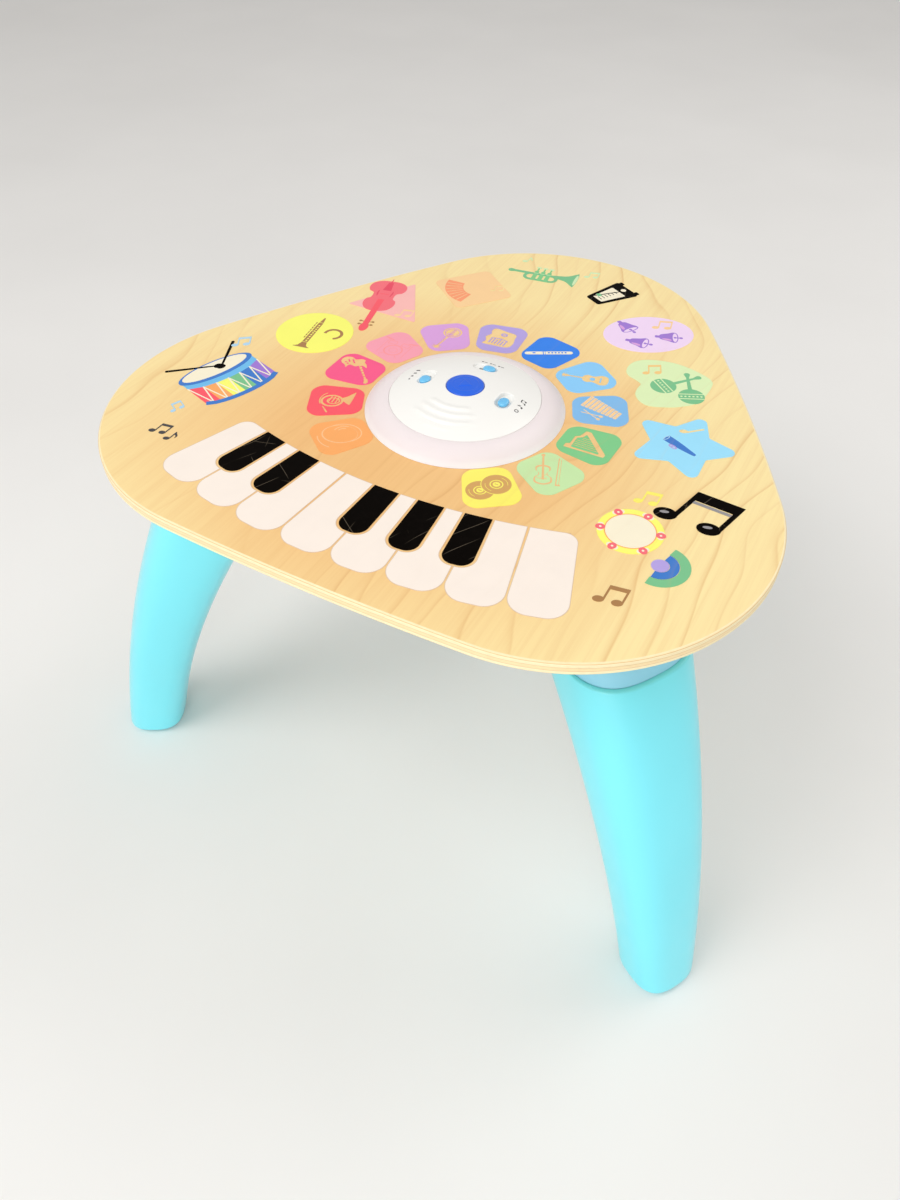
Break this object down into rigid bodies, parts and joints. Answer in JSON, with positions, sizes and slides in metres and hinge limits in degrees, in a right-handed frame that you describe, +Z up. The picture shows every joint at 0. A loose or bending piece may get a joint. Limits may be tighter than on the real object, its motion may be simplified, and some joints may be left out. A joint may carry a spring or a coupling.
{
  "type": "musical activity table",
  "caption": "Low rounded three-cornered wooden activity table with printed touch keys and pads, a round light-up console and splayed curved plastic legs.",
  "frame": {"origin": "centre of the footprint, on the floor", "axes": "+Z up; the keyboard side faces -Y, the single far corner points to +Y, and +X is to the right of a child at the keyboard"},
  "size_m": [0.549, 0.5064, 0.3576],
  "materials": {
    "birch_board": "satin lacquer",
    "white_ink": "satin ink",
    "black_ink": "satin ink",
    "pad_ink": "satin ink",
    "shape_ink": "satin ink",
    "ring_frost": "frosted translucent",
    "cap_white": "semi gloss",
    "button_blue": "semi gloss",
    "knob_blue": "translucent gloss",
    "leg_aqua": "satin moulded",
    "socket_blue": "satin moulded",
    "housing_white": "fine texture",
    "foot_rubber": "matte",
    "board_green": "satin",
    "switch_metal": "brushed",
    "screw_steel": "plated",
    "contact_plate": "plated",
    "magnet_steel": "plated",
    "basket_steel": "painted",
    "cone_paper": "matte",
    "cell_wrap": "film wrap",
    "wire_red": "satin",
    "film_amber": "film",
    "led_cover": "clear"
  },
  "bodies": {
    "table": {"tabletop": "birch_board", "white_key_prints": "white_ink", "black_key_prints": "black_ink", "ring_pad_prints": "pad_ink", "outer_pad_prints": "shape_ink", "light_ring": "ring_frost", "console_cap": "cap_white", "play_switch": "switch_metal", "slide_switches": "switch_metal", "control_board": "board_green", "board_screws": "screw_steel", "led_board": "board_green", "ring_leds": "led_cover", "touch_film": "film_amber", "sensor_ribbon": "film_amber", "base_housing": "housing_white", "console_screws": "screw_steel", "speaker_basket": "basket_steel", "speaker_magnet": "magnet_steel", "speaker_cone": "cone_paper", "speaker_screws": "screw_steel", "speaker_wires": "wire_red", "batteries": "cell_wrap", "battery_springs": "contact_plate", "battery_contacts": "contact_plate", "battery_wires": "wire_red", "led_wires": "wire_red", "leg_socket_rear": "socket_blue", "leg_socket_left": "socket_blue", "leg_socket_right": "socket_blue", "socket_screws": "screw_steel"},
    "start_button": {"play_button": "button_blue", "play_switch_plunger": "basket_steel"},
    "volume_slider": {"volume_knob": "knob_blue"},
    "mode_slider": {"mode_knob": "knob_blue"},
    "sound_slider": {"sound_knob": "knob_blue"},
    "battery_door": {"battery_door": "housing_white"},
    "battery_door_screw": {"battery_door_screw": "screw_steel"},
    "leg_rear": {"leg_rear": "leg_aqua", "foot_pad_rear": "foot_rubber"},
    "leg_left": {"leg_left": "leg_aqua", "foot_pad_left": "foot_rubber"},
    "leg_right": {"leg_right": "leg_aqua", "foot_pad_right": "foot_rubber"}
  },
  "joints": [
    {"name": "start_button_press", "type": "slide", "parent": "table", "child": "start_button", "axis": [0, 0, -1], "range_m": [0, 0.0012], "stiffness_N_per_m": 900, "springref_m": -0.0008},
    {"name": "volume_slide", "type": "slide", "parent": "table", "child": "volume_slider", "axis": [0, 1, 0], "range_m": [0, 0.006]},
    {"name": "mode_slide", "type": "slide", "parent": "table", "child": "mode_slider", "axis": [-1, 0, 0], "range_m": [0, 0.006]},
    {"name": "sound_slide", "type": "slide", "parent": "table", "child": "sound_slider", "axis": [0, 1, 0], "range_m": [-0.0015, 0.0045]},
    {"name": "battery_door_lift", "type": "slide", "parent": "table", "child": "battery_door", "axis": [0, 0, -1], "range_m": [0, 0.03]},
    {"name": "battery_door_screw_turn", "type": "hinge", "parent": "battery_door", "child": "battery_door_screw", "pos_m": [0, -0.11884, 0.293], "axis": [0, 0, 1], "continuous": true},
    {"name": "leg_rear_pull", "type": "slide", "parent": "table", "child": "leg_rear", "axis": [0, 0.4866, -0.8736], "range_m": [0, 0.045]},
    {"name": "leg_left_pull", "type": "slide", "parent": "table", "child": "leg_left", "axis": [-0.4214, -0.2433, -0.8736], "range_m": [0, 0.045]},
    {"name": "leg_right_pull", "type": "slide", "parent": "table", "child": "leg_right", "axis": [0.4214, -0.2433, -0.8736], "range_m": [0, 0.045]}
  ]
}
